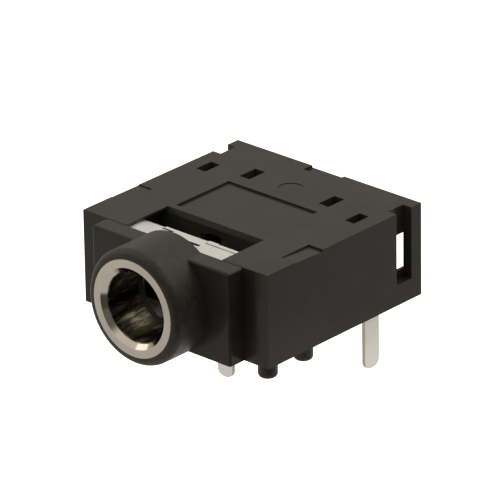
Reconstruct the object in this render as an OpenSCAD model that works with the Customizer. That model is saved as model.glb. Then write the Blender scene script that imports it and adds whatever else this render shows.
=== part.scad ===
// Audio jack for a circuit board: a moulded housing with a metal bushing in its barrel,
// a folded sleeve contact under the top window, and a ring and a tip spring beside the plug.
// Millimetres. Y runs from the mouth to the rear, Z up from the board, X to the right.

/* [Plug socket] */
// Diameter of the plug that the socket takes
plug_d = 3.5; // [3.3:0.05:3.7]
// Play of the plug in the bushing, on the diameter
plug_play = 0.1; // [0.06:0.02:0.2]
// Outer diameter of the bushing
bushing_d = 5.0; // [4.6:0.1:5.4]
// Length of the bushing
bushing_len = 2.4; // [1.6:0.1:2.7]
// Width of the shoulder that the bushing seats on
bushing_shoulder = 0.4; // [0.2:0.05:0.5]
// Width of the lead-in chamfer at the bushing's mouth
mouth_chamfer = 0.28; // [0.1:0.02:0.34]
// Wall of the barrel around the bushing
barrel_wall = 0.48; // [0.3:0.01:0.8]
// Length of the barrel in front of the body
barrel_len = 3.0; // [2.9:0.05:3.3]
// Rounding of the barrel's front edge
barrel_round = 0.42; // [0.1:0.02:0.6]

/* [Body] */
// Width of the body
body_w = 12.0; // [11.6:0.1:16]
// Length of the body behind its front face
body_len = 11.2; // [11:0.1:14]
// Height of the plug's axis above the board
axis_z = 2.42; // [2.4:0.02:3.2]
// Height of the body's top above the plug's axis
top_rise = 2.46; // [2.4:0.02:3.2]
// Rounding of the body's outer edges
edge_round = 0.04; // [0.02:0.01:0.15]
// Width of the flange block in front of the body
block_w = 8.9; // [7:0.1:10]
// Length of the flange block
block_len = 1.0; // [0.5:0.1:1.5]
// Step from the body's top down to the flange block's top
block_drop = 0.03; // [0.02:0.01:0.2]
// Rounding of the flange block's upright and top edges
block_round = 0.12; // [0.05:0.01:0.4]

/* [Walls] */
// Side wall beside the contact chambers
side_wall = 0.7; // [0.6:0.05:0.9]
// Roof over the contact chambers
roof = 0.75; // [0.5:0.05:0.85]
// Rear wall behind the contact chambers
rear_wall = 0.9; // [0.6:0.05:1]
// Floor under the contact chambers and the sleeve contact
base = 0.3; // [0.2:0.05:0.4]
// Clearance of the floor's slots around the springs
slot_play = 0.15; // [0.1:0.01:0.25]
// Web between the sleeve contact's well and the contact chambers
web = 1.23; // [1.1:0.01:1.4]
// Width of the rib under the plug, between the contact chambers
rib_w = 2.0; // [1.4:0.1:2.4]

/* [Top face] */
// Width of the window over the sleeve contact
window_w = 6.26; // [6:0.02:6.8]
// Length of the window at the top
window_len = 2.97; // [2.8:0.01:3.2]
// Height of the steep chamfer on the window's rear edge
window_chamfer = 0.28; // [0.1:0.02:0.4]
// Distance of the well's rear wall in front of the window's rear edge
window_lean = 0.11; // [0.05:0.01:0.15]
// Width of the sleeve contact's well, under the lips at the window's sides
well_w = 7.2; // [6.9:0.1:7.6]
// Thickness of those lips
lip = 0.13; // [0.1:0.01:0.3]
// Width of the shallow recess behind the window
recess_w = 5.8; // [4:0.1:6.4]
// Depth of the recess
recess_depth = 0.1; // [0.05:0.01:0.3]
// Land between the window and the start of the recess
recess_land = 0.35; // [0.1:0.05:1]
// Length of the recess
recess_len = 3.78; // [2:0.02:3.9]
// Width of the outer slots, which take the contact tabs
slot_w = 0.6; // [0.4:0.05:0.8]
// Length of the outer slots
slot_len = 1.1; // [0.8:0.05:1.4]
// Distance of the inner slots from the middle
inner_slot_x = 2.58; // [2.2:0.02:3.2]
// Distance of the inner slots' middle from the front face
inner_slot_y = 8.48; // [8:0.02:9.2]
// Width of the inner slots
inner_slot_w = 0.65; // [0.4:0.05:0.9]
// Length of the inner slots
inner_slot_len = 1.17; // [0.6:0.01:1.4]
// Depth of the right side nick at its rear end
right_nick_depth = 0.1; // [0.05:0.01:0.2]
// Depth of the left side nick at its rear end
left_nick_depth = 0.05; // [0.05:0.01:0.2]
// Depth of the side nicks at their front end
side_nick_rise = 0.04; // [0.02:0.01:0.05]
// Start of the side nicks behind the front face
side_nick_y = 2.0; // [1:0.1:4]
// Length of the side nicks
side_nick_len = 1.97; // [1:0.01:3]
// Reach of the side nicks into the top
side_nick_reach = 0.9; // [0.3:0.05:1.5]
// Width of the rear nick
rear_nick_w = 2.1; // [1:0.1:4]
// Reach of the rear nick into the top
rear_nick_reach = 0.67; // [0.3:0.01:1]
// Depth of the rear nick
rear_nick_depth = 0.12; // [0.05:0.01:0.2]
// Diameter of the round ejector mark
mark_d = 1.3; // [0.6:0.1:2]
// Depth of the ejector mark
mark_depth = 0.03; // [0.02:0.01:0.1]
// Distance of the ejector mark from the front face
mark_y = 8.4; // [8:0.1:9.5]

/* [Side notches] */
// Depth of the notch in each side
notch_depth = 0.53; // [0.3:0.01:0.58]
// Length of the notch
notch_len = 1.1; // [0.6:0.05:1.5]
// Post left behind the notch
notch_post = 0.76; // [0.5:0.02:1.2]
// Height of the notch's floor above the board
notch_floor = 1.1; // [0.5:0.05:1.4]
// Height of the lower edge of the gap at the bottom of the notch
gap_low = 1.5; // [1.45:0.05:2]
// Height of the upper edge of that gap and of the rear openings
gap_high = 3.41; // [2.6:0.01:3.8]
// Width of the rear openings
rear_opening_w = 1.1; // [0.8:0.01:1.6]

/* [Board fixings] */
// Diameter of the locating pegs
peg_d = 0.98; // [0.6:0.02:1.2]
// Length of the pegs below the body
peg_len = 1.05; // [0.6:0.05:1.6]
// Rounding of the pegs' lower edge
peg_round = 0.23; // [0.05:0.01:0.25]
// Distance of the pegs from the body's sides
peg_inset = 1.0; // [0.8:0.05:1.5]
// Distance of the front pegs from the front face
peg_front = 1.05; // [0.8:0.05:1.5]
// Distance from the front pegs to the rear pegs
peg_pitch = 2.55; // [2:0.05:3]
// Reach of the solder pins below the body
pin_reach = 3.5; // [2:0.05:4.5]
// Width of the rear solder pins
pin_w = 1.04; // [0.7:0.02:1.2]
// Width of the sleeve contact's solder pin
sleeve_pin_w = 0.98; // [0.7:0.02:1.2]
// Rounding of the corners at the pins' tips
pin_round = 0.4; // [0.1:0.05:0.5]
// Distance of the sleeve contact's pin from the front face
sleeve_pin_y = 3.54; // [3.4:0.02:3.8]
// Distance of the rear pins from the front face
rear_pin_y = 8.87; // [8.7:0.01:9.1]

/* [Contacts] */
// Thickness of the contact sheet
sheet_t = 0.2; // [0.12:0.01:0.25]
// Reach of each contact's bump inside the plug's surface
contact_bite = 0.05; // [0.02:0.01:0.2]
// Distance from the mouth to the ring spring's bump
ring_touch = 8.2; // [8:0.1:9]
// Distance from the mouth to the tip spring's bump
tip_touch = 12.2; // [11.8:0.1:12.4]
// Height of the contact leaves
leaf_h = 1.2; // [1:0.1:2.2]
// Flare of the leaves' free ends away from the plug
flare = 0.35; // [0.2:0.05:0.5]
// Bend radius of the springs, at the middle of the sheet
bend_r = 0.55; // [0.3:0.05:0.7]
// Distance of the springs' legs from the body's sides
leg_inset = 1.3; // [1.1:0.05:1.4]
// Length of the legs in front of the solder pins
leg_run = 2.3; // [2:0.1:2.6]
// Distance of the contact tabs in front of the solder pins
tab_ahead = 1.12; // [1:0.02:1.2]
// Depth of the contact tabs' ends below the top
tab_sink = 0.45; // [0.2:0.05:0.7]
// Play around the tabs, the pins and the sleeve contact
play = 0.05; // [0.03:0.01:0.1]

/* [Sleeve contact] */
// Length of the folded band along the plug
band_len = 1.33; // [1:0.01:1.6]
// Inner radius of the band's folds
fold_r = 0.15; // [0.05:0.01:0.3]
// Radius to which the left arm is crowned
crown_r = 3.4; // [2:0.1:5]
// Distance from the middle to the seam's front part
seam_front = 1.2; // [0.8:0.05:1.5]
// Distance from the middle to the seam's rear part
seam_rear = 1.85; // [1.6:0.05:2.2]
// Width of the tongue at the rear of the seam
tongue_w = 0.2; // [0.15:0.01:0.4]
// Gap in the seam
seam_gap = 0.08; // [0.05:0.01:0.15]
// Width of the slit in the right arm
slit_w = 0.19; // [0.05:0.01:0.25]
// Length of that slit, from the seam
slit_len = 2.15; // [1:0.05:2.4]
// Distance of the slit from the arm's rear edge
slit_back = 0.56; // [0.4:0.02:0.8]
// Height of the pressed rim along the right arm's rear edge
rim_h = 0.03; // [0.02:0.01:0.04]
// Width of the pressed rim
rim_w = 0.24; // [0.1:0.01:0.3]
// Width of the small stop behind that rim
stop_w = 0.6; // [0.3:0.05:1]
// Distance of the side leaves' bumps from the well's rear wall
leaf_back = 0.45; // [0.4:0.05:0.6]

/* [Hidden] */
$fn = 64;

// Colours of the moulding, the bushing and the plated contacts
black_plastic = "#33302c";
nickel = "#b3a898";
silver_plate = "#d6d2c8";

// Length by which cuts pass through the faces that they open
over = 1;

// Heights above the board
body_h = axis_z + top_rise;
roof_z = body_h - roof;
leaf_low = axis_z - leaf_h / 2;
leaf_high = axis_z + leaf_h / 2;

// The plug's path
bore_r = (plug_d + plug_play) / 2;
path_r = bore_r + play;
throat_r = bushing_d / 2 - bushing_shoulder;
touch_x = plug_d / 2 - contact_bite + sheet_t / 2;
barrel_r = bushing_d / 2 + barrel_wall;
barrel_edge = min(barrel_round, barrel_wall - play / 2);
bushing_fit = 0.01;
bushing_edge = 0.1;

// Places behind the front face
peg_middle = peg_front + peg_pitch / 2;
chamber_front = window_len + web;
chamber_rear = body_len - rear_wall;
recess_front = window_len + recess_land;
well_rear = window_len - window_lean;
notch_rear = body_len - notch_post;
ring_y = ring_touch - barrel_len;
tip_y = tip_touch - barrel_len;
flare_run = 0.55;

// Places to the side of the middle
half_w = body_w / 2;
chamber_out = half_w - side_wall;
notch_x = half_w - notch_depth;
leg_x = half_w - leg_inset;
peg_x = half_w - peg_inset;

// The springs' legs and tabs
leg_front = rear_pin_y - leg_run;
leg_rear = rear_pin_y + pin_w / 2;
ring_bend_y = chamber_rear - play - slot_play - bend_r - sheet_t / 2;
slot_t = sheet_t + 2 * slot_play;
tab_y = rear_pin_y - tab_ahead;
tab_len = slot_len - 4 * play;
shoulder = 0.25;

// The sleeve contact's band
band_w = well_w - 2 * play;
band_front = 2 * play;
band_rear = band_front + band_len;
band_middle = band_front + band_len / 2;
arm_z = body_h - lip - play;
band_floor = base + play;
tongue_front = band_rear - tongue_w;
sleeve_leaf_y = well_rear - leaf_back;
sleeve_flare = 0.22;
stop_reach = 0.1;

// Puts the origin in the middle of the pegs, for pieces drawn from the body's front face
module board_frame() {
    translate([0, -peg_middle, 0]) children();
}

// Draws a piece on the right side and again, mirrored, on the left
module both_sides() {
    children();
    mirror([1, 0, 0]) children();
}

// Turns a piece drawn upwards so that it points out of the mouth along the plug's axis
module on_plug_axis() {
    translate([0, 0, axis_z]) rotate([90, 0, 0]) children();
}

// Box between two corners
module slab(low, high) {
    translate(low) cube(high - low);
}

// Upright outline in X and Z, thickened towards the front from y
module facing_front(y, t) {
    translate([0, y, 0]) rotate([90, 0, 0]) linear_extrude(t) children();
}

// Upright outline in Y and Z, thickened to the right from x
module facing_side(x, t) {
    translate([x, 0, 0]) rotate([90, 0, 90]) linear_extrude(t) children();
}

// Rectangle between two corners, with round corners
module rounded_rect(low, high, r) {
    size = high - low;
    translate(low + [r, 0]) square([size.x - 2 * r, size.y]);
    translate(low + [0, r]) square([size.x, size.y - 2 * r]);
    for (x = [low.x + r, high.x - r], y = [low.y + r, high.y - r])
        translate([x, y]) circle(r);
}

// Box between two corners, with round upright and top edges
module rounded_block(low, high, r) {
    intersection() {
        translate([0, 0, low.z])
            linear_extrude(high.z - low.z) rounded_rect([low.x, low.y], [high.x, high.y], r);
        facing_front(high.y, high.y - low.y) rounded_rect([low.x, low.z - r], [high.x, high.z], r);
        facing_side(low.x, high.x - low.x) rounded_rect([low.y, low.z - r], [high.y, high.z], r);
    }
}

// Sheet of thickness t seen on edge along a list of points, with round corners
module sheet_path(points, t) {
    for (i = [0 : len(points) - 2]) {
        run = points[i + 1] - points[i];
        translate(points[i])
            rotate(atan2(run.y, run.x))
                translate([0, -t / 2]) square([norm(run), t]);
        translate(points[i + 1]) circle(t / 2);
    }
}

// Half-round bend of that sheet, opening to the rear or, with way -1, to the front
module sheet_bend(middle, way, t) {
    reach = bend_r + t;
    translate(middle) intersection() {
        difference() {
            circle(bend_r + t / 2);
            circle(bend_r - t / 2);
        }
        translate([-reach, way > 0 ? -reach : 0]) square([2 * reach, reach]);
    }
}

// Solder pin seen on its wide face, from a height down to its rounded tip
module pin_outline(w, top) {
    r = min(pin_round, w / 2 - play);
    translate([-w / 2, r - pin_reach]) square([w, top + pin_reach - r]);
    translate([r - w / 2, -pin_reach]) square([w - 2 * r, 2 * r]);
    for (x = [r - w / 2, w / 2 - r]) translate([x, r - pin_reach]) circle(r);
}

// Ring spring's leaf from above: it turns round the rear and runs forward to the plug's ring
module ring_plan(t) {
    sheet_bend([leg_x - bend_r, ring_bend_y], -1, t);
    sheet_path([
        [leg_x - 2 * bend_r, ring_bend_y],
        [touch_x, ring_y],
        [touch_x + flare, ring_y - flare_run]
    ], t);
}

// Tip spring's leaf from above: it turns round the front and runs back to the plug's tip
module tip_plan(t) {
    sheet_bend([leg_x - bend_r, leg_front], 1, t);
    sheet_path([
        [leg_x - 2 * bend_r, leg_front],
        [touch_x, tip_y],
        [touch_x + flare, tip_y + flare_run]
    ], t);
}

// Locating peg under the body, round at its lower edge
module peg() {
    r = min(peg_round, (peg_d - play) / 4);
    translate([0, 0, -peg_len]) rotate_extrude() {
        square([peg_d / 2 - r, peg_len + base]);
        translate([0, r]) square([peg_d / 2, peg_len + base - r]);
        translate([peg_d / 2 - r, r]) circle(r);
    }
}

// Barrel around the bushing, round at its front edge
module barrel() {
    on_plug_axis() rotate_extrude() {
        square([barrel_r - barrel_edge, barrel_len]);
        square([barrel_r, barrel_len - barrel_edge]);
        translate([barrel_r - barrel_edge, barrel_len - barrel_edge]) circle(barrel_edge);
    }
}

// Seat of the bushing, the throat behind it, and the plug's way through the webs
module plug_path() {
    on_plug_axis() {
        translate([0, 0, barrel_len - bushing_len])
            cylinder(r = bushing_d / 2 + bushing_fit, h = bushing_len + over);
        cylinder(r = throat_r, h = barrel_len);
        translate([0, 0, -body_len - over]) cylinder(r = path_r, h = body_len + barrel_len + over);
    }
}

// Well of the sleeve contact, open at the top, with the way for its tail and pin under the web
module sleeve_well() {
    slab([-window_w / 2, 0, axis_z], [window_w / 2, well_rear, body_h + over]);
    facing_side(-window_w / 2, window_w)
        polygon([
            [well_rear - play, body_h - window_chamfer], [well_rear, body_h - window_chamfer],
            [window_len, body_h], [window_len, body_h + over], [well_rear - play, body_h + over]
        ]);
    slab([-well_w / 2, 0, base], [well_w / 2, well_rear, body_h - lip]);
    slab([-sleeve_pin_w / 2 - play, well_rear - play, -over],
        [sleeve_pin_w / 2 + play, sleeve_pin_y + sheet_t / 2 + play, axis_z]);
}

// Chamber beside the plug for one spring, open at the rear corner, wider there above the gap's edge
module contact_chamber() {
    slab([rib_w / 2, chamber_front, base], [chamber_out, chamber_rear, roof_z]);
    slab([chamber_out - rear_opening_w, chamber_rear - play, -over],
        [chamber_out, body_len + over, gap_high]);
    slab([chamber_out - play, chamber_rear - play, gap_low], [notch_x, body_len + over, gap_high]);
}

// Slot in the floor through which a spring goes in: its leaf's plan and its leg's line from a place
module floor_slot(front) {
    translate([0, 0, -over]) linear_extrude(base + 2 * over) {
        children();
        translate([leg_x - slot_t / 2, front]) square([slot_t, ring_bend_y - front]);
    }
}

// Notch in the right side, with a gap through to the chamber
module side_notch() {
    front = notch_rear - notch_len;
    slab([notch_x, front, notch_floor], [half_w + over, notch_rear, body_h + over]);
    slab([chamber_out - play, front, gap_low], [half_w, notch_rear, gap_high]);
}

// Slots through the roof on the right side, over the spring's tab and over its leaf
module roof_slots() {
    tab_side = leg_x - sheet_t / 2 - play;
    slab([tab_side, tab_y - slot_len / 2, roof_z - play],
        [tab_side + slot_w, tab_y + slot_len / 2, body_h + over]);
    translate([inner_slot_x, inner_slot_y, 0])
        slab([-inner_slot_w / 2, -inner_slot_len / 2, roof_z - play],
            [inner_slot_w / 2, inner_slot_len / 2, body_h + over]);
}

// Nick in the top's right edge, as deep as given at its rear end
module side_nick(depth) {
    nick_rear = side_nick_y + side_nick_len;
    facing_side(half_w - side_nick_reach, side_nick_reach + over)
        polygon([
            [side_nick_y, body_h - side_nick_rise], [nick_rear, body_h - depth],
            [nick_rear, body_h + over], [side_nick_y, body_h + over]
        ]);
}

// Shallow marks in the top: the recess, the nicks in its edges and the ejector mark
module top_marks() {
    slab([-recess_w / 2, recess_front, body_h - recess_depth],
        [recess_w / 2, recess_front + recess_len, body_h + over]);
    side_nick(right_nick_depth);
    mirror([1, 0, 0]) side_nick(left_nick_depth);
    slab([-rear_nick_w / 2, body_len - rear_nick_reach, body_h - rear_nick_depth],
        [rear_nick_w / 2, body_len + over, body_h + over]);
    translate([0, mark_y, body_h - mark_depth]) cylinder(d = mark_d, h = over);
}

// Moulded housing
module housing() {
    color(black_plastic) board_frame() difference() {
        union() {
            rounded_block([-half_w, 0, 0], [half_w, body_len, body_h], edge_round);
            rounded_block([-block_w / 2, -block_len, 0],
                [block_w / 2, block_round + over, body_h - block_drop], block_round);
            barrel();
            both_sides() for (y = [peg_front, peg_front + peg_pitch])
                translate([peg_x, y, 0]) peg();
        }
        plug_path();
        sleeve_well();
        both_sides() {
            contact_chamber();
            side_notch();
            roof_slots();
        }
        floor_slot(leg_front) tip_plan(slot_t);
        mirror([1, 0, 0]) floor_slot(leg_front - slot_play) ring_plan(slot_t);
        top_marks();
    }
}

// Turned bushing, flush with the barrel's front
module bushing() {
    outer_r = bushing_d / 2;
    color(nickel) board_frame() on_plug_axis()
        translate([0, 0, barrel_len - bushing_len]) rotate_extrude() polygon([
            [bore_r, 0], [outer_r - bushing_edge, 0], [outer_r, bushing_edge], [outer_r, bushing_len],
            [bore_r + mouth_chamfer, bushing_len], [bore_r, bushing_len - mouth_chamfer]
        ]);
}

// Closed loop of sheet around the plug, seen along the plug
module band_outline() {
    fold_out = fold_r + sheet_t;
    difference() {
        rounded_rect([-band_w / 2, band_floor], [band_w / 2, arm_z], fold_out);
        rounded_rect([-band_w / 2 + sheet_t, band_floor + sheet_t],
            [band_w / 2 - sheet_t, arm_z - sheet_t], fold_r);
    }
}

// Part of that loop between two corners of the outline
module band_part(low, high) {
    facing_front(band_rear, band_len) intersection() {
        band_outline();
        translate(low) square(high - low);
    }
}

// Right arm: flat, with a tongue and a slit at the seam, a pressed rim and a small stop
module right_arm() {
    slit_y = band_rear - slit_back;
    rim_x = slit_len - seam_front;
    difference() {
        band_part([seam_gap - seam_front, axis_z], [band_w, body_h]);
        slab([-seam_front, slit_y - slit_w, axis_z], [rim_x, slit_y, body_h]);
    }
    slab([seam_gap - seam_rear, tongue_front, arm_z - sheet_t], [0, band_rear, arm_z]);
    slab([rim_x, band_rear - rim_w, arm_z - sheet_t],
        [band_w / 2 - fold_r - sheet_t, band_rear, arm_z + rim_h]);
    slab([rim_x, band_rear - rim_w, arm_z - sheet_t],
        [rim_x + stop_w, band_rear + stop_reach, arm_z]);
}

// Side view of the crowned left arm up to a place, as a sheet or filled underneath
module crown_outline(rear, filled) {
    intersection() {
        translate([band_middle, arm_z - crown_r]) difference() {
            circle(crown_r);
            if (!filled) circle(crown_r - sheet_t);
        }
        translate([band_front, axis_z]) square([rear - band_front, body_h]);
    }
}

// Left arm: crowned along the plug, on an upright side, with a tongue in front of the right arm's
module left_arm() {
    facing_side(-band_w / 2, sheet_t) crown_outline(band_rear, true);
    facing_side(-band_w / 2, band_w / 2 - seam_rear) crown_outline(band_rear, false);
    facing_side(-band_w / 2, band_w / 2 - seam_front) crown_outline(tongue_front - seam_gap, false);
}

// Folded sleeve contact: band, arms, side leaves, and the tail that ends in the solder pin
module sleeve_contact() {
    leaf_plan = [
        [band_w / 2 - sheet_t / 2, band_rear - sheet_t],
        [touch_x, sleeve_leaf_y],
        [touch_x + sleeve_flare, sleeve_leaf_y + sleeve_flare]
    ];
    color(silver_plate) board_frame() {
        band_part([-band_w, 0], [band_w, axis_z]);
        right_arm();
        left_arm();
        both_sides()
            translate([0, 0, leaf_low]) linear_extrude(leaf_h) sheet_path(leaf_plan, sheet_t);
        slab([-sleeve_pin_w / 2, band_rear - sheet_t, band_floor],
            [sleeve_pin_w / 2, sleeve_pin_y + sheet_t / 2, band_floor + sheet_t]);
        facing_front(sleeve_pin_y + sheet_t / 2, sheet_t)
            pin_outline(sleeve_pin_w, band_floor + sheet_t);
    }
}

// Upright leg of a spring between two places, with its tab in the roof and its solder pin
module spring_leg(front, rear) {
    facing_side(leg_x - sheet_t / 2, sheet_t) {
        translate([front, leaf_low]) square([rear - front, leaf_h]);
        translate([tab_y - tab_len / 2 - shoulder, leaf_low])
            square([tab_len + 2 * shoulder, roof_z - play - leaf_low]);
        translate([tab_y - tab_len / 2, leaf_low]) square([tab_len, body_h - tab_sink - leaf_low]);
        translate([rear_pin_y, 0]) pin_outline(pin_w, leaf_high);
    }
}

// Leaf of a spring: a plan of the sheet, as tall as the leaves are
module spring_leaf() {
    translate([0, 0, leaf_low]) linear_extrude(leaf_h) children();
}

// Ring spring on the left
module ring_spring() {
    color(silver_plate) board_frame() mirror([1, 0, 0]) {
        spring_leg(leg_front, ring_bend_y);
        spring_leaf() ring_plan(sheet_t);
    }
}

// Tip spring on the right
module tip_spring() {
    color(silver_plate) board_frame() {
        spring_leg(leg_front, leg_rear);
        spring_leaf() tip_plan(sheet_t);
    }
}

housing();
bushing();
sleeve_contact();
ring_spring();
tip_spring();
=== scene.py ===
# %% [markdown]
# # An audio jack for a circuit board
# This lesson dresses a finished solid model: a black moulded housing, a nickel bushing in its round
# mouth, and three sheet-metal contacts inside. The solids come in at their real size and stay where they
# are. What is made here is how their surfaces look, and the small studio that they stand in. We could
# model everything again by hand, but a loaded model keeps every size true.

# %% Load the model
import math

import bpy
from mathutils import Matrix, Vector


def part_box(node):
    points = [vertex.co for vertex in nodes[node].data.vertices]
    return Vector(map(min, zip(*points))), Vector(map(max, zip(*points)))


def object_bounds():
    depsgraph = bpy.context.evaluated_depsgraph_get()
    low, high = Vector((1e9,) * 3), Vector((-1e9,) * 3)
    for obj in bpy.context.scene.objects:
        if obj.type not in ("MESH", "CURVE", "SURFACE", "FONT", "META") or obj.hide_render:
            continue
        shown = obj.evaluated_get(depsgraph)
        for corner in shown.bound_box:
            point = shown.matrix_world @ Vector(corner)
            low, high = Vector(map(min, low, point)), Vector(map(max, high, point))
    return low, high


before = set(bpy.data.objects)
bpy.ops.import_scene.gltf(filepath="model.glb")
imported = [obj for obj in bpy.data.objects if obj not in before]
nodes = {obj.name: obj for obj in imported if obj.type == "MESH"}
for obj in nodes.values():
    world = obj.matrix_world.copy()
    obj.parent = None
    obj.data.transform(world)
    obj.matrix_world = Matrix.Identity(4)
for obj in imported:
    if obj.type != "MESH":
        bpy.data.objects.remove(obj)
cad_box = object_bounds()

MM = 0.001


def in_mm(length):
    return round(length / MM, 2)


print("pieces:", ", ".join(sorted(nodes)))
print("size in mm:", [in_mm(high - low) for low, high in zip(*cad_box)])

# %% [markdown]
# ## Places that the finishes need
# A turned finish runs in circles, so it has to know where the middle of the circle is. On this jack that
# is the axis of the plug. Such places could be typed in, but reading them from the model keeps them right
# when a size changes. The bushing is a ring around the axis, so the middle of its box gives the axis, and
# the front of that box is the mouth. The barrel is the tallest thing on the housing, so the housing's
# height gives its radius, and it ends where the sleeve contact starts.

# %% Find the plug's axis and the pin tips
bushing_low, bushing_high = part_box("bushing")
sleeve_low, sleeve_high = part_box("sleeve_contact")
housing_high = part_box("housing")[1]
axis_z = (bushing_low.z + bushing_high.z) / 2
mouth_y = bushing_low.y
bushing_r = (bushing_high.x - bushing_low.x) / 2
barrel_r = housing_high.z - axis_z
barrel_root_y = sleeve_low.y
pin_tip_z = cad_box[0][2]
print("plug axis at", in_mm(axis_z), "mm above the board, mouth at y", in_mm(mouth_y), "mm")
print("bushing radius", in_mm(bushing_r), "mm, barrel radius", in_mm(barrel_r), "mm")
print("barrel's root at y", in_mm(barrel_root_y), "mm, pin tips at z", in_mm(pin_tip_z), "mm")

# %% [markdown]
# ## Edges that the finishes follow
# The polished cone of the bushing lies between its bore and its flat face, and handling has worn the
# front right edge of the body. The boxes don't tell where these edges run, but the corners of the meshes
# do. The corner nearest to the axis lies in the bore, the nearest one in the plane of the mouth is the
# rim of the cone, and the foremost one at the right side is the body's front edge. Edges could also be
# marked by hand, but then they would have to be marked again after each change of size.

# %% Find the bushing's rims and the body's front edge
hair = 0.001 * MM
edge_zone = 0.05 * MM


def corners_of(name):
    piece = nodes[name]
    return [piece.matrix_world @ vertex.co for vertex in piece.data.vertices]


def radius_at(corner):
    return math.hypot(corner.x, corner.z - axis_z)


bore_r = min(radius_at(corner) for corner in corners_of("bushing"))
cone_r = min(radius_at(corner) for corner in corners_of("bushing") if corner.y < mouth_y + hair)
body_front_y = min(corner.y for corner in corners_of("housing") if corner.x > housing_high.x - edge_zone)
print("bore radius", in_mm(bore_r), "mm, cone's rim", in_mm(cone_r), "mm from the axis")
print("body's front edge at y", round(body_front_y / MM, 3), "mm")

# %% [markdown]
# ## Helpers for shader nodes
# Every finish below is a small network of nodes. It could be wired by hand in the shader editor, but a
# script can be read from top to bottom. One function adds a node, sets its choices and fills its sockets:
# a plain value goes into the socket, and another node's output is linked to it. The others do arithmetic,
# make a soft ramp between two values, and split a vector into its axes.

# %% Define the node helpers
def add_node(tree, kind, inputs=None, **choices):
    made = tree.nodes.new(kind)
    for choice, value in choices.items():
        setattr(made, choice, value)
    for socket, value in (inputs or {}).items():
        if isinstance(value, bpy.types.NodeSocket):
            tree.links.new(value, made.inputs[socket])
        else:
            made.inputs[socket].default_value = value
    return made


def calculate(tree, operation, *values, clamp=False):
    made = add_node(tree, "ShaderNodeMath", dict(enumerate(values)), operation=operation, use_clamp=clamp)
    return made.outputs[0]


def between(tree, share, low, high, start=0, stop=1):
    ends = {"Value": share, "From Min": start, "From Max": stop, "To Min": low, "To Max": high}
    made = add_node(tree, "ShaderNodeMapRange", ends, interpolation_type="SMOOTHSTEP")
    return made.outputs["Result"]


def split(tree, vector):
    return add_node(tree, "ShaderNodeSeparateXYZ", {"Vector": vector}).outputs


print("node helpers: add_node, calculate, between, split")

# %% [markdown]
# ## Grain: the bite of a spark-eroded mould
# The mould for such a housing is cut by sparks, which leave a fine, even grain on the plastic. Plating
# and turned metal have a grain of their own, only finer. A picture of real grain would do, but noise has
# no seams and stays sharp however close we look. The same noise serves all the finishes, so it is a node
# group with the size of the grain as an input. A second, slow noise gives the broad patches where a
# surface is a little duller. Noise seldom leaves the middle of its range, so that middle is stretched to
# the full range.

# %% Build the grain group
noise_low = 0.3
noise_high = 0.7


def new_group(name, inputs, outputs):
    tree = bpy.data.node_groups.new(name, "ShaderNodeTree")
    for socket, value in inputs.items():
        made = tree.interface.new_socket(socket, in_out="INPUT", socket_type="NodeSocketFloat")
        made.default_value = value
    for socket in outputs:
        tree.interface.new_socket(socket, in_out="OUTPUT", socket_type="NodeSocketFloat")
    return tree, tree.nodes.new("NodeGroupInput").outputs, tree.nodes.new("NodeGroupOutput").inputs


def object_place(tree):
    return add_node(tree, "ShaderNodeTexCoord").outputs["Object"]


def stretched_noise(tree, inputs, **choices):
    noise = add_node(tree, "ShaderNodeTexNoise", inputs, **choices)
    return between(tree, noise.outputs["Fac"], 0, 1, start=noise_low, stop=noise_high)


def build_grain():
    tree, given, result = new_group("surface_grain", {"Grains per mm": 20, "Patches per mm": 0.4},
                                    ["Height", "Patch"])
    place = object_place(tree)
    for count, detail, output in (("Grains per mm", 3, "Height"), ("Patches per mm", 2, "Patch")):
        scale = calculate(tree, "DIVIDE", given[count], MM)
        noise = stretched_noise(tree, {"Vector": place, "Scale": scale, "Detail": detail})
        tree.links.new(noise, result[output])
    return tree


surface_grain = build_grain()
print("group:", surface_grain.name, [socket.name for socket in surface_grain.interface.items_tree])

# %% [markdown]
# ## Specks: dust, scuffs and tiny pits
# Seen this close, nothing is clean: pale specks of dust lie on the black plastic, the barrel is scuffed,
# and the plating has small dark pits. All of them are dots in random places. Particles could be strewn
# over the part, but dots in the finish weigh nothing. A cell texture scatters points, one to a cell, and
# a dot shows where the distance to the point is small. Each cell also has a random colour: its red leaves
# most cells without a dot, and its green makes the dots differ in size.

# %% Build the speck group
speck_softness = 0.3


def build_specks():
    tree, given, result = new_group("specks", {"Cells per mm": 3, "Size": 0.06, "Share": 0.2}, ["Mask"])
    scale = calculate(tree, "DIVIDE", given["Cells per mm"], MM)
    cells = add_node(tree, "ShaderNodeTexVoronoi", {"Vector": object_place(tree), "Scale": scale})
    chance = add_node(tree, "ShaderNodeSeparateColor", {"Color": cells.outputs["Color"]}).outputs
    radius = calculate(tree, "MULTIPLY", given["Size"], chance["Green"])
    inside = calculate(tree, "SUBTRACT", radius, cells.outputs["Distance"])
    soft_edge = calculate(tree, "MULTIPLY", given["Size"], speck_softness)
    dot = calculate(tree, "DIVIDE", inside, soft_edge, clamp=True)
    chosen = calculate(tree, "LESS_THAN", chance["Red"], given["Share"])
    tree.links.new(calculate(tree, "MULTIPLY", dot, chosen), result["Mask"])
    return tree


specks = build_specks()
print("group:", specks.name, [socket.name for socket in specks.interface.items_tree])

# %% [markdown]
# ## Lines: the marks of the lathe and of the rolling mill
# A turned bushing carries fine rings, and rolled sheet carries fine straight lines. They could be cut
# into the mesh, but they are far too fine for it. Seen across the lines both are the same thing: heights
# that change quickly in one direction and slowly in the other. So one group takes the distance across the
# lines and along them and gives back the height, and the material decides whether the lines are rings,
# straight, or streaks that break off.

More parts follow.
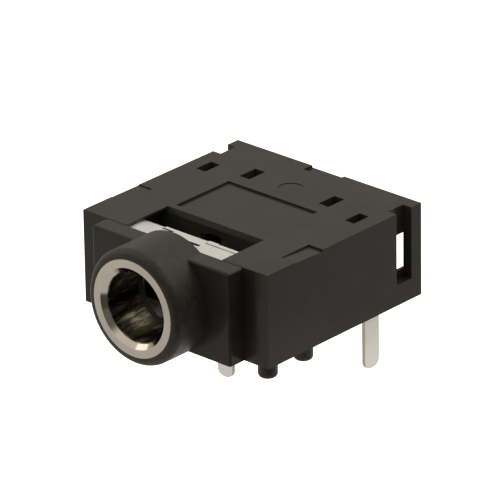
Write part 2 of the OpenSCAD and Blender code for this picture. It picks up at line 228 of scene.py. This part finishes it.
# %% Build the line group
def build_lines():
    inputs = {"Across": 0, "Along": 0, "Lines per mm": 30, "Breaks per mm": 0}
    tree, given, result = new_group("tool_lines", inputs, ["Height"])
    steps = [calculate(tree, "DIVIDE", calculate(tree, "MULTIPLY", given[way], given[count]), MM)
             for way, count in (("Across", "Lines per mm"), ("Along", "Breaks per mm"))]
    flat = add_node(tree, "ShaderNodeCombineXYZ", {"X": steps[0], "Y": steps[1]}).outputs["Vector"]
    noise = stretched_noise(tree, {"Vector": flat, "Scale": 1, "Detail": 4}, noise_dimensions="2D")
    tree.links.new(noise, result["Height"])
    return tree


tool_lines = build_lines()
print("group:", tool_lines.name, [socket.name for socket in tool_lines.interface.items_tree])

# %% [markdown]
# ## Starting a material
# Each finish below is a Principled shader whose sockets are fed by those groups. What stays the same all
# over the surface, such as the gloss of plastic, is set on the shader itself. A Mix node keeps its
# sockets for values and for colours under the same names, so they are told apart by their numbers here,
# once, and not in every finish.

# %% Define the material helpers
value_sockets = (2, 3)
value_output = 0
colour_sockets = (6, 7)
colour_output = 2


def new_material(name, constants):
    material = bpy.data.materials.new(name)
    material.use_nodes = True
    tree = material.node_tree
    shader = tree.nodes["Principled BSDF"]
    for socket, value in constants.items():
        shader.inputs[socket].default_value = value
    return material, tree, shader


def add_group(tree, group, values):
    return add_node(tree, "ShaderNodeGroup", values, node_tree=group).outputs


def blend_values(tree, share, first, second):
    ends = dict(zip(value_sockets, (first, second)))
    return add_node(tree, "ShaderNodeMix", {"Factor": share, **ends}).outputs[value_output]


def blend_colours(tree, share, first, second):
    colours = [end if isinstance(end, bpy.types.NodeSocket) else (*end, 1) for end in (first, second)]
    ends = dict(zip(colour_sockets, colours))
    mixed = add_node(tree, "ShaderNodeMix", {"Factor": share, **ends}, data_type="RGBA")
    return mixed.outputs[colour_output]


def raise_surface(tree, shader, height, depth):
    bump = add_node(tree, "ShaderNodeBump", {"Height": height, "Distance": depth})
    tree.links.new(bump.outputs["Normal"], shader.inputs["Normal"])


def put_on(material, *names):
    for name in names:
        nodes[name].data.materials.clear()
        nodes[name].data.materials.append(material)
        print(name, "wears", material.name)


print("material helpers: new_material, add_group, blend_values, blend_colours, raise_surface, put_on")

# %% [markdown]
# ## Where the barrel is matt
# The flat faces of the housing came out of a smooth part of the mould and mirror their neighbours, while
# the barrel came out of a rough part and is matt. Two materials on two sets of faces would need the faces
# to be picked by hand. But the barrel is all that lies in front of the body and close to the plug's axis,
# so two distances tell the finishes apart.

# %% Tell the barrel from the block
barrel_blend = 0.04 * MM


def distance_across(tree, first, second):
    squares = [calculate(tree, "POWER", side, 2) for side in (first, second)]
    return calculate(tree, "SQRT", calculate(tree, "ADD", *squares))


def from_axis(tree, axes):
    height = calculate(tree, "SUBTRACT", axes["Z"], axis_z)
    return distance_across(tree, axes["X"], height), height


def find_barrel(tree, axes):
    radius = from_axis(tree, axes)[0]
    near_axis = between(tree, radius, 1, 0, start=barrel_r, stop=barrel_r + barrel_blend)
    in_front = calculate(tree, "LESS_THAN", axes["Y"], barrel_root_y)
    return calculate(tree, "MULTIPLY", near_axis, in_front)


print("matt within", in_mm(barrel_r), "mm of the axis, in front of y", in_mm(barrel_root_y), "mm")

# %% [markdown]
# ## Wear, painted sheen and dust on the moulding
# The front right edge of the body is paler: partly worn, and partly a painted highlight that covers the
# dark reflection its small rounding would show. Dust has settled on the faces that look up. Both could be
# painted by hand on an unwrapped surface. Here the distance from the edge makes the pale edge, and the
# way that a face looks makes the dust, so both follow the model when it changes.

# %% Define the wear, the painted sheen and the dust
wear_and_sheen_width = 0.09 * MM
# painted highlight: the pale edge colour is partly wear and partly covers the dark reflection of the
# edge's rounding
wear_and_sheen_grey = (0.085, 0.082, 0.075)
dust_grey = (0.14, 0.133, 0.116)


def facing_axes(tree):
    return split(tree, add_node(tree, "ShaderNodeNewGeometry").outputs["Normal"])


def pale_edge_wear_and_sheen(tree, axes, colour):
    aside = calculate(tree, "SUBTRACT", axes["X"], housing_high.x)
    behind = calculate(tree, "SUBTRACT", axes["Y"], body_front_y)
    from_edge = distance_across(tree, aside, behind)
    # painted highlight: the body's front right edge is lightened, partly as wear and partly over a dark
    # reflection
    wear_and_painted_light = between(tree, from_edge, 1, 0, start=wear_and_sheen_width / 2, stop=wear_and_sheen_width)
    return blend_colours(tree, wear_and_painted_light, colour, wear_and_sheen_grey)


def settle_dust(tree, colour):
    dust = add_group(tree, specks, {"Cells per mm": 1.8, "Size": 0.07, "Share": 0.3})
    level = between(tree, facing_axes(tree)["Z"], 0, 1, start=0.5, stop=0.9)
    return blend_colours(tree, calculate(tree, "MULTIPLY", dust["Mask"], level), colour, dust_grey)


# the pale edge that this width sets is partly wear and partly a painted highlight
print("edge wear", in_mm(wear_and_sheen_width), "mm wide")

# %% [markdown]
# ## Black moulding
# The housing is black, glass-filled plastic. Its own colour is so dark that nearly all we see is the
# white room mirrored in its skin: light on the top, darker on the sides. A darker or lighter paint would
# hardly change that, so the colour stays almost black, and the work goes into the gloss. On the barrel
# the colour is mottled and scuffed, and the grain is deeper.

# %% Make the black moulding
black_deep = (0.038, 0.0366, 0.0333)
black_pale = (0.047, 0.0454, 0.0413)
mottle_grey = (0.062, 0.0585, 0.0522)
scuff_grey = (0.2, 0.19, 0.172)
block_roughness = (0.15, 0.23)
barrel_roughness = (0.30, 0.40)
skin_relief = 0.0008 * MM
barrel_relief = 7


def make_moulding():
    material, tree, shader = new_material("black_moulding", {"Specular IOR Level": 0.30})
    axes = split(tree, object_place(tree))
    matt = find_barrel(tree, axes)
    fine = add_group(tree, surface_grain, {"Grains per mm": 16, "Patches per mm": 0.5})
    coarse = add_group(tree, surface_grain, {"Grains per mm": 22, "Patches per mm": 2.5})
    scuffs = add_group(tree, specks, {"Cells per mm": 5, "Size": 0.2, "Share": 0.25})
    colour = blend_colours(tree, fine["Patch"], black_deep, black_pale)
    colour = blend_colours(tree, calculate(tree, "MULTIPLY", coarse["Patch"], matt), colour, mottle_grey)
    colour = blend_colours(tree, calculate(tree, "MULTIPLY", scuffs["Mask"], matt), colour, scuff_grey)
    colour = settle_dust(tree, pale_edge_wear_and_sheen(tree, axes, colour))
    tree.links.new(colour, shader.inputs["Base Color"])
    block_skin = between(tree, fine["Patch"], *block_roughness)
    barrel_skin = between(tree, coarse["Patch"], *barrel_roughness)
    tree.links.new(blend_values(tree, matt, block_skin, barrel_skin), shader.inputs["Roughness"])
    pitted = calculate(tree, "MULTIPLY", coarse["Height"], matt)
    skin = calculate(tree, "MULTIPLY_ADD", pitted, barrel_relief, fine["Height"])
    raise_surface(tree, shader, skin, skin_relief)
    return material


put_on(make_moulding(), "housing")

# %% [markdown]
# ## Satin nickel
# The bushing is turned from brass and plated with nickel, which is a warm grey. Its flat face is satin,
# and the cone at the mouth was cut last and shines. In the bore the colour is painted shade: dark and
# brownish, for the dark inside of the hole, with paler streaks along the plug's way that are partly
# rubbed by plugs and partly painted reflections. Three materials could do it, but their borders would be
# hard.
# Here the distance from the plug's axis tells the three apart, and it also gives the rings of the lathe.
# The angle around the axis gives the streaks.

# %% Make the satin nickel
bore_margin = 0.03 * MM
turned_blend = 0.02 * MM
nickel_dull = (0.69, 0.638, 0.57)
nickel_pale = (0.77, 0.713, 0.635)
pit_brown = (0.25, 0.21, 0.16)
# painted shade: the bore is coloured dark for the shade inside the hole; its paler streaks are partly
# rubbing and partly painted reflections
bore_painted_shade = (0.046, 0.038, 0.026)
bore_rub_and_sheen = (0.25, 0.22, 0.175)
bore_roughness = 0.2
cone_roughness = 0.1
face_roughness = 0.24
ring_roughness = 0.1
lathe_relief = 0.0025 * MM


def find_rings(tree, radius):
    cone_start = bore_r + bore_margin
    face_start = cone_r + turned_blend
    return [between(tree, radius, 0, 1, start=start, stop=start + turned_blend)
            for start in (cone_start, face_start)]


def make_nickel():
    material, tree, shader = new_material("satin_nickel", {"Metallic": 1.0})
    axes = split(tree, object_place(tree))
    radius, height = from_axis(tree, axes)
    around = calculate(tree, "MULTIPLY", calculate(tree, "ARCTAN2", height, axes["X"]), bushing_r)
    on_cone, on_face = find_rings(tree, radius)
    slant = calculate(tree, "ADD", radius, axes["Y"])
    rings = add_group(tree, tool_lines, {"Across": slant, "Lines per mm": 26})
    streaks = add_group(tree, tool_lines, {"Across": around, "Along": axes["Y"], "Lines per mm": 2,
                                           "Breaks per mm": 0.6})
    grain = add_group(tree, surface_grain, {"Grains per mm": 30, "Patches per mm": 0.8})
    pits = add_group(tree, specks, {"Cells per mm": 4, "Size": 0.08, "Share": 0.15})
    plate = blend_colours(tree, grain["Patch"], nickel_dull, nickel_pale)
    pitted = blend_colours(tree, pits["Mask"], plate, pit_brown)
    # painted shade and reflection: dark bore colour with paler streaks
    rub_and_sheen_share = between(tree, streaks["Height"], 0, 1, start=0.25, stop=1)
    wear_and_painted_light = blend_colours(tree, rub_and_sheen_share, bore_painted_shade, bore_rub_and_sheen)
    tree.links.new(blend_colours(tree, on_cone, wear_and_painted_light, pitted), shader.inputs["Base Color"])
    inner = between(tree, on_cone, bore_roughness, cone_roughness)
    polish = blend_values(tree, on_face, inner, face_roughness)
    turned = calculate(tree, "MULTIPLY_ADD", rings["Height"], ring_roughness, polish)
    tree.links.new(turned, shader.inputs["Roughness"])
    marks = blend_values(tree, on_cone, streaks["Height"], rings["Height"])
    raise_surface(tree, shader, marks, lathe_relief)
    return material


put_on(make_nickel(), "bushing")

# %% [markdown]
# ## Sheared edges, and painted shade in the slits
# The contacts are stamped from sheet, so all their narrow edges were sheared and are duller than the wide
# faces. On the folded loop in the window these edges are the walls of its slits, which are painted nearly
# black as the shade inside the slits.
# The edges could get a material of their own, face by face. But a sheared edge is any face that looks
# another way than the wide face of the sheet does: the pins' wide faces look along X or Y, and the top of
# the loop looks up.

# %% Find the sheared edges and the shaded slits
sheet_thickness = 0.2 * MM
loop_top_z = sleeve_high.z - sheet_thickness
pin_edge_grey = (0.56, 0.525, 0.47)
# painted shade: the slit walls are coloured nearly black for the shade inside the slits
slit_painted_shade = (0.17, 0.157, 0.135)


def looks_aside(tree, facing, start, stop):
    return between(tree, calculate(tree, "ABSOLUTE", facing), 1, 0, start=start, stop=stop)


def shear_edges_and_shade_slits(tree, axes, wide_face, colour):
    facing = facing_axes(tree)
    below_board = calculate(tree, "LESS_THAN", axes["Z"], 0)
    pin_edge = calculate(tree, "MULTIPLY", below_board, looks_aside(tree, facing[wide_face], 0.4, 0.8))
    in_loop_top = calculate(tree, "GREATER_THAN", axes["Z"], loop_top_z)
    # painted shade: walls of the slits in the loop's top are darkened
    slit_shade_share = calculate(tree, "MULTIPLY", in_loop_top, looks_aside(tree, facing["Z"], 0.1, 0.4))
    return blend_colours(tree, slit_shade_share, blend_colours(tree, pin_edge, colour, pin_edge_grey), slit_painted_shade)


print("loop's sheet from z", in_mm(loop_top_z), "to", in_mm(sleeve_high.z), "mm")

# %% [markdown]
# ## Silver plate, and bronze painted with shade
# The sleeve contact is stamped from brass sheet and plated with silver, pale and matt. The sheet was
# rolled, so fine straight lines run along it, and handling has left small grey spots. The two springs are
# bronze, and only their pins are plated, so that solder takes on them. Above the pins the bronze is
# painted far darker than bare bronze, as painted shade for the dark inside of the housing. Each finish
# could be written out in full, but both differ only in the colour above the board, so they share one
# function. The plated pins shine a little more than the sheet above them.

# %% Make the silver plate and the shaded bronze
pin_top_z = 0.6 * MM
pin_blend = 0.3 * MM
pin_dull = (0.9, 0.885, 0.835)
pin_pale = (0.97, 0.95, 0.895)
silver_dull = (0.95, 0.96, 1.0)
silver_pale = (0.98, 0.99, 1.0)
# painted shade: the springs' colour above their pins is far darker than bronze, for the dark inside of
# the housing
bronze_painted_shade_dark = (0.11, 0.088, 0.06)
bronze_painted_shade_pale = (0.18, 0.145, 0.1)
spot_grey = (0.45, 0.42, 0.36)
pin_roughness = (0.36, 0.48)
sheet_dulling = 0.2
rolled_relief = 0.0012 * MM


def make_sheet(name, wide_face, sheet_dull, sheet_pale):
    material, tree, shader = new_material(name, {"Metallic": 1.0})
    axes = split(tree, object_place(tree))
    across = calculate(tree, "ADD", axes["X"], axes["Y"])
    lines = add_group(tree, tool_lines, {"Across": across, "Lines per mm": 14})
    grain = add_group(tree, surface_grain, {"Grains per mm": 12, "Patches per mm": 0.9})
    spots = add_group(tree, specks, {"Cells per mm": 3, "Size": 0.1, "Share": 0.15})
    above_pin = between(tree, axes["Z"], 0, 1, start=pin_top_z, stop=pin_top_z + pin_blend)
    pin = blend_colours(tree, grain["Patch"], pin_dull, pin_pale)
    sheet = blend_colours(tree, grain["Patch"], sheet_dull, sheet_pale)
    colour = blend_colours(tree, above_pin, pin, sheet)
    colour = blend_colours(tree, spots["Mask"], colour, spot_grey)
    tree.links.new(shear_edges_and_shade_slits(tree, axes, wide_face, colour), shader.inputs["Base Color"])
    pin_skin = between(tree, grain["Patch"], *pin_roughness)
    sheet_skin = calculate(tree, "MULTIPLY_ADD", above_pin, sheet_dulling, pin_skin)
    tree.links.new(sheet_skin, shader.inputs["Roughness"])
    raise_surface(tree, shader, lines["Height"], rolled_relief)
    return material


put_on(make_sheet("silver_plate", "Y", silver_dull, silver_pale), "sleeve_contact")
# painted shade: the springs get the darkened bronze above their plated pins
put_on(make_sheet("spring_bronze_painted_shade", "X", bronze_painted_shade_dark, bronze_painted_shade_pale), "ring_spring", "tip_spring")

# %% [markdown]
# ## The sheet of a light table
# Small shiny parts are often pictured on a light table, a white sheet lit from below, because it leaves
# next to no shadow. A lamp under glass would do it, but a sheet that glows by itself is simpler. It glows
# most over its lamp, which is under the right rear of the jack, and at the front right it ends on a grey
# bench, which the polished mouth mirrors. Such pictures are exposed until the sheet turns pure white, so
# the sheet glows more strongly for the camera alone, through the Light Path node.

# %% Make the glowing sheet
table_glow = 0.355
lamp_gain = 0.24
lamp_middle = Vector((2.5, 3.5, 0)) * MM
lamp_core = 4 * MM
lamp_reach = 13 * MM
camera_glow = 1.2
glow_end = 10 * MM
bench_start = 11.4 * MM
bench_side = Vector((0.82, -0.57, 0))
opal_dull = (0.24, 0.235, 0.225)
opal_pale = (0.26, 0.255, 0.245)
bench_grey = (0.1, 0.096, 0.09)
lamp_white = (1, 0.97, 0.92, 1)


def measure(tree, operation, first, second):
    made = add_node(tree, "ShaderNodeVectorMath", {0: first, 1: second}, operation=operation)
    return made.outputs["Value"]


def make_opal():
    constants = {"Roughness": 0.9, "Specular IOR Level": 0.1, "Emission Color": lamp_white}
    material, tree, shader = new_material("opal_sheet", constants)
    place = object_place(tree)
    patches = add_group(tree, surface_grain, {"Grains per mm": 2, "Patches per mm": 0.02})
    sheet = blend_colours(tree, patches["Patch"], opal_dull, opal_pale)
    ahead = measure(tree, "DOT_PRODUCT", place, bench_side)
    bench = between(tree, ahead, 0, 1, start=glow_end, stop=bench_start)
    tree.links.new(blend_colours(tree, bench, sheet, bench_grey), shader.inputs["Base Color"])
    from_lamp = measure(tree, "DISTANCE", place, lamp_middle)
    lamp = between(tree, from_lamp, table_glow + lamp_gain, table_glow, start=lamp_core, stop=lamp_reach)
    glow = calculate(tree, "MULTIPLY", lamp, between(tree, bench, 1, 0))
    seen = add_node(tree, "ShaderNodeLightPath").outputs["Is Camera Ray"]
    strength = calculate(tree, "MULTIPLY_ADD", seen, camera_glow, glow)
    tree.links.new(strength, shader.inputs["Emission Strength"])
    return material


opal_sheet = make_opal()
print("the sheet glows", table_glow, "and", round(table_glow + lamp_gain, 3), "over its lamp")

# %% [markdown]
# ## The light table
# The jack stands on its pins, as it would before it goes into a board, so the table lies at the height of
# the pin tips. A box with a thick top would be closer to a real table, but only its top ever shows, so
# one large square is enough. It belongs to the studio and not to the jack.

# %% Lay the light table
table_half = 1.5


def make_table():
    mesh = bpy.data.meshes.new("light_table")
    corners = [(-table_half, -table_half, 0), (table_half, -table_half, 0),
               (table_half, table_half, 0), (-table_half, table_half, 0)]
    mesh.from_pydata(corners, [], [(0, 1, 2, 3)])
    mesh.materials.append(opal_sheet)
    table = bpy.data.objects.new("light_table", mesh)
    bpy.context.scene.collection.objects.link(table)
    table.location.z = pin_tip_z
    return table


table = make_table()
print("light table at z", in_mm(table.location.z), "mm")

# %% [markdown]
# ## The white room
# Shiny things show what surrounds them. Here a pale, slightly warm backdrop stands behind the jack at the
# left, and the room on the camera's side is dim, which gives the metal its dark bands. A bright ceiling
# lies over it, brighter still towards the back right, and it stops short of the dim side. Big lamps could
# do that, but the world's own strength can change with the direction, which has no hard edges.

# %% Make the room
warm_white = (1.0, 0.945, 0.81)
backdrop_strength = 0.47
room_strength = 0.13
ceiling_front = 0.62
ceiling_back = 1.7
dim_side = Vector((0.8, -0.6, 0))
lit_side = Vector((0.5, 0.866, 0))
wall_ramp = {"start": -0.3, "stop": 0.8}
ceiling_ramp = {"start": 0.3, "stop": 0.85}
ceiling_edge = {"start": 0.47, "stop": 0.62}
ceiling_end = {"start": 0.45, "stop": 0.8}


def make_world():
    world = bpy.data.worlds.new("white_room")
    world.use_nodes = True
    tree = world.node_tree
    background = tree.nodes["Background"]
    background.inputs["Color"].default_value = (*warm_white, 1)
    direction = add_node(tree, "ShaderNodeTexCoord").outputs["Generated"]
    toward_dim = measure(tree, "DOT_PRODUCT", direction, dim_side)
    toward_lit = measure(tree, "DOT_PRODUCT", direction, lit_side)
    walls = between(tree, toward_dim, backdrop_strength, room_strength, **wall_ramp)
    ceiling = between(tree, toward_lit, ceiling_front, ceiling_back, **ceiling_ramp)
    high = between(tree, split(tree, direction)["Z"], 0, 1, **ceiling_edge)
    away = between(tree, toward_dim, 1, 0, **ceiling_end)
    overhead = calculate(tree, "MULTIPLY", away, high)
    tree.links.new(blend_values(tree, overhead, walls, ceiling), background.inputs["Strength"])
    return world


bpy.context.scene.world = make_world()
print("backdrop", backdrop_strength, "room", room_strength, "ceiling", ceiling_front, "to", ceiling_back)

# %% [markdown]
# ## A lamp for the glint
# The brightest place on the jack is a glint at the bottom of the mouth, where the polished cone mirrors a
# lamp. It could be painted on the cone, but then it would stay in place when we walk around the jack. So
# it is a real lamp, a round, soft one at the left, too weak to change anything else.

# %% Hang the round softbox
glint_place = Vector((-0.49, -0.14, 0.27))
glint_size = 0.3
glint_power = 0.2


def make_softbox():
    lamp = bpy.data.lights.new("glint_softbox", "AREA")
    lamp.shape = "DISK"
    lamp.size = glint_size
    lamp.energy = glint_power
    lamp.color = warm_white
    softbox = bpy.data.objects.new("glint_softbox", lamp)
    softbox.location = glint_place
    softbox.rotation_euler = (-glint_place).to_track_quat("-Z", "Y").to_euler()
    bpy.context.scene.collection.objects.link(softbox)
    return softbox


softbox = make_softbox()
print("softbox", glint_size, "m wide,", round(softbox.location.length, 2), "m away")

# %% [markdown]
# ## The camera
# The camera stands to the front right of the mouth and looks down on the jack, as in the picture to
# match. It could be turned by eye until the edges fall into place. Here its direction and distance come
# from the jack's corners in that picture, which is more exact. A long lens keeps the edges nearly
# parallel.

# %% Place the camera
azimuth = math.radians(42.413)
elevation = math.radians(24.363)
roll = math.radians(-0.915)
distance = 275.97 * MM
aim_point = Vector((0, 3.175, 2.5)) * MM
aim_right = -0.0729 * MM
aim_up = 0.0644 * MM
focal_length = 408.9
sensor_width = 36


def make_camera():
    back = Vector((math.sin(azimuth) * math.cos(elevation),
                   -math.cos(azimuth) * math.cos(elevation), math.sin(elevation)))
    level_right = Vector((math.cos(azimuth), math.sin(azimuth), 0))
    level_up = back.cross(level_right)
    right = math.cos(roll) * level_right + math.sin(roll) * level_up
    up = math.cos(roll) * level_up - math.sin(roll) * level_right
    lens = bpy.data.cameras.new("camera")
    lens.sensor_width = sensor_width
    lens.lens = focal_length
    camera = bpy.data.objects.new("camera", lens)
    place = aim_point + aim_right * right + aim_up * up + distance * back
    rotation = Matrix((right, up, back)).transposed()
    camera.matrix_world = Matrix.Translation(place) @ rotation.to_4x4()
    bpy.context.scene.collection.objects.link(camera)
    return camera


bpy.context.scene.camera = make_camera()
bpy.context.scene.view_settings.view_transform = "Standard"
print("camera", round(distance / MM), "mm away, lens", focal_length, "mm")
